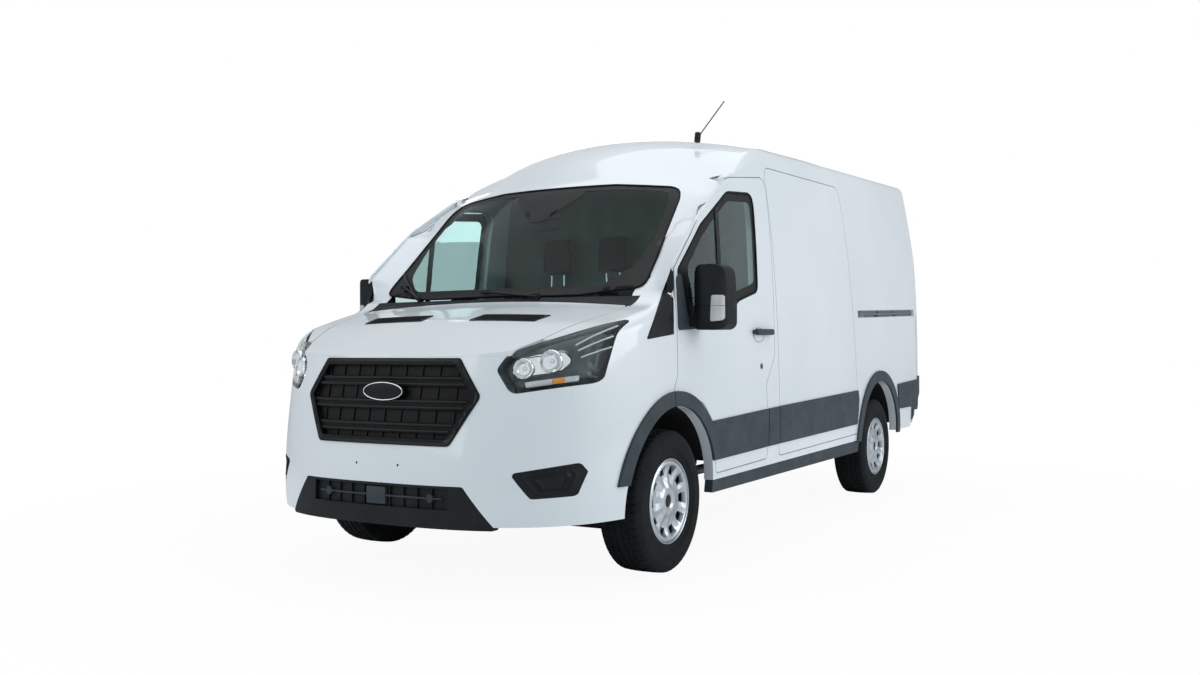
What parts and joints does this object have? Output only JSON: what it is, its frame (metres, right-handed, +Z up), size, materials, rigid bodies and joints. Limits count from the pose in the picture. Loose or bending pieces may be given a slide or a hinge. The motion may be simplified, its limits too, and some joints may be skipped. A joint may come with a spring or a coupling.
{
  "type": "panel van",
  "caption": "Medium-roof delivery van with opening front doors, bonnet and twin rear doors, sliding side doors, steered front wheels and a bulkhead behind the cab.",
  "frame": {"origin": "on the ground under the middle of the bounding box", "axes": "+Z up; the van faces -Y and its left side is +X, so +Y runs back along its length"},
  "size_m": [2.4156, 5.5332, 2.5867],
  "materials": {
    "paint": "gloss white",
    "door_glass": "green tint",
    "screen_glass": "green tint with black border",
    "black_plastic": "grained black",
    "grille_black": "satin black",
    "lamp": "clear lens over grey",
    "grey_plastic": "grained dark grey",
    "tail_lens": "red lens",
    "wheel_silver": "silver",
    "tyre": "rubber",
    "chassis_iron": "cast",
    "chassis_black": "black chassis paint",
    "engine": "cast",
    "housing": "black liner",
    "floor_paint": "grey primer",
    "bulkhead_paint": "grey paint",
    "dash_plastic": "charcoal grain",
    "seat_fabric": "dark woven cloth",
    "tank_plastic": "black",
    "exhaust_steel": "dull steel"
  },
  "bodies": {
    "body": {"aerial": "black_plastic", "body_side_left": "paint", "body_side_right": "paint", "bulkhead": "bulkhead_paint", "cab_floor": "floor_paint", "cowl": "black_plastic", "dashboard": "dash_plastic", "driver_seat": "seat_fabric", "engine": "engine", "exhaust": "exhaust_steel", "firewall": "housing", "front_bumper": "paint", "front_rails": "chassis_black", "front_subframe": "chassis_black", "front_wing_left": "paint", "front_wing_right": "paint", "fuel_tank": "tank_plastic", "grille": "grille_black", "headlamp_left": "lamp", "headlamp_right": "lamp", "load_floor": "floor_paint", "lower_grille": "black_plastic", "passenger_seat": "seat_fabric", "rear_axle": "chassis_black", "rear_bumper": "grey_plastic", "roof": "paint", "side_moulding_left": "grey_plastic", "side_moulding_right": "grey_plastic", "sliding_door_left": "paint", "sliding_door_right": "paint", "steering_wheel": "dash_plastic", "struts": "chassis_black", "tail_lamps": "tail_lens", "wheel_housing_left": "housing", "wheel_housing_right": "housing", "windscreen": "screen_glass"},
    "knuckle_left": {"knuckle_left": "chassis_iron"},
    "knuckle_right": {"knuckle_right": "chassis_iron"},
    "front_wheel_left": {"wheel_front_left": "wheel_silver", "tyre_front_left": "tyre"},
    "front_wheel_right": {"wheel_front_right": "wheel_silver", "tyre_front_right": "tyre"},
    "rear_wheel_left": {"wheel_rear_left": "wheel_silver", "tyre_rear_left": "tyre"},
    "rear_wheel_right": {"wheel_rear_right": "wheel_silver", "tyre_rear_right": "tyre"},
    "front_door_left": {"front_door_left": "paint", "door_glass_left": "door_glass", "door_moulding_left": "grey_plastic", "mirror_left": "black_plastic"},
    "front_door_right": {"front_door_right": "paint", "door_glass_right": "door_glass", "door_moulding_right": "grey_plastic", "mirror_right": "black_plastic"},
    "bonnet": {"bonnet": "paint"},
    "rear_door_left": {"rear_door_left": "paint"},
    "rear_door_right": {"rear_door_right": "paint"}
  },
  "joints": [
    {"name": "steer_left", "type": "hinge", "parent": "body", "child": "knuckle_left", "pos_m": [0.812, -1.742, 0.348], "axis": [0, 0, 1], "range_deg": [-33, 33]},
    {"name": "steer_right", "type": "hinge", "parent": "body", "child": "knuckle_right", "pos_m": [-0.812, -1.742, 0.348], "axis": [0, 0, 1], "range_deg": [-33, 33]},
    {"name": "spin_front_left", "type": "hinge", "parent": "knuckle_left", "child": "front_wheel_left", "pos_m": [0.868, -1.742, 0.348], "axis": [1, 0, 0], "continuous": true},
    {"name": "spin_front_right", "type": "hinge", "parent": "knuckle_right", "child": "front_wheel_right", "pos_m": [-0.868, -1.742, 0.348], "axis": [1, 0, 0], "continuous": true},
    {"name": "spin_rear_left", "type": "hinge", "parent": "body", "child": "rear_wheel_left", "pos_m": [0.868, 1.558, 0.348], "axis": [1, 0, 0], "continuous": true},
    {"name": "spin_rear_right", "type": "hinge", "parent": "body", "child": "rear_wheel_right", "pos_m": [-0.868, 1.558, 0.348], "axis": [1, 0, 0], "continuous": true},
    {"name": "door_front_left", "type": "hinge", "parent": "body", "child": "front_door_left", "pos_m": [1.034, -1.796, 1.2], "axis": [0, 0, -1], "range_deg": [0, 68]},
    {"name": "door_front_right", "type": "hinge", "parent": "body", "child": "front_door_right", "pos_m": [-1.034, -1.796, 1.2], "axis": [0, 0, 1], "range_deg": [0, 68]},
    {"name": "bonnet_lift", "type": "hinge", "parent": "body", "child": "bonnet", "pos_m": [0, -1.886, 1.362], "axis": [-1, 0, 0], "range_deg": [0, 50]},
    {"name": "door_rear_left", "type": "hinge", "parent": "body", "child": "rear_door_left", "pos_m": [0.8, 2.69, 1.3], "axis": [0, 0, -1], "range_deg": [0, 170]},
    {"name": "door_rear_right", "type": "hinge", "parent": "body", "child": "rear_door_right", "pos_m": [-0.8, 2.69, 1.3], "axis": [0, 0, 1], "range_deg": [0, 170]}
  ],
  "couplings": [
    {"joint": "steer_right", "follows": "steer_left", "ratio": 1}
  ]
}
